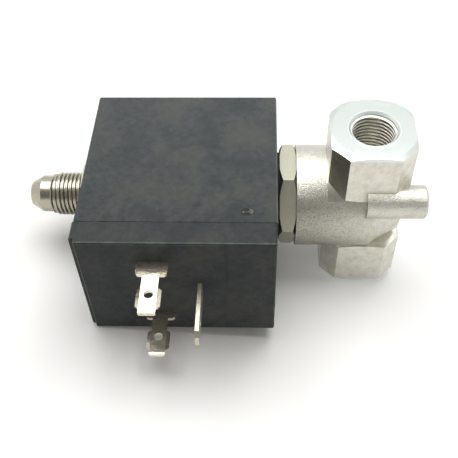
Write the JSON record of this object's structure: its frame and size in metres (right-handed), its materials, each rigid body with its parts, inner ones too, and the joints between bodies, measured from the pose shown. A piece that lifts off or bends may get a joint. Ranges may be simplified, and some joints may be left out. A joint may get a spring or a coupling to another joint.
{
  "type": "solenoid valve",
  "caption": "Direct-acting solenoid valve: encapsulated coil on an armature tube, forged body with opposed threaded ports, and a threaded exhaust outlet with a sealing cone.",
  "frame": {"origin": "on the port axis, where the full thread of the lower port begins, just inside its mouth", "axes": "+X along the armature tube from the exhaust end towards the forged body, +Z along the port axis upwards, +Y away from the terminals"},
  "size_m": [0.0876, 0.0555, 0.0408],
  "materials": {
    "plated_brass": "satin nickel plate on forged brass",
    "plated_steel": "plated, turned",
    "stainless": "turned stainless",
    "spring_steel": "drawn",
    "yoke_steel": "plain mild steel",
    "copper": "plain copper",
    "copper_wire": "enamelled copper",
    "tinned_brass": "bright tin plate on brass sheet",
    "coil_resin": "matt moulded, glass filled",
    "bobbin_nylon": "moulded",
    "seal_rubber": "matt"
  },
  "bodies": {
    "valve": {"valve_body": "plated_brass", "orifice_seat": "stainless", "tube_flange": "plated_steel", "guide_tube": "stainless", "body_o_ring": "seal_rubber", "coil_gasket": "seal_rubber", "fixed_core": "stainless", "shading_ring": "copper", "retaining_nut": "plated_steel", "spring_washer": "spring_steel"},
    "coil": {"coil_moulding": "coil_resin", "coil_bobbin": "bobbin_nylon", "coil_winding": "copper_wire", "yoke_frame": "yoke_steel", "flux_bush_outer": "yoke_steel", "flux_bush_inner": "yoke_steel", "power_tab_upper": "tinned_brass", "power_tab_lower": "tinned_brass", "earth_tab": "tinned_brass"},
    "plunger": {"plunger": "stainless", "plunger_seal": "seal_rubber", "exhaust_seal": "seal_rubber", "plunger_spring": "spring_steel"}
  },
  "joints": [
    {"name": "plunger_lift", "type": "slide", "parent": "valve", "child": "plunger", "axis": [-1, 0, 0], "range_m": [0, 0.0012], "stiffness_N_per_m": 500, "springref_m": -0.003, "deforming": ["plunger_spring"]},
    {"name": "coil_swivel", "type": "hinge", "parent": "valve", "child": "coil", "pos_m": [0, 0, 0.01991], "axis": [1, 0, 0], "continuous": true}
  ]
}
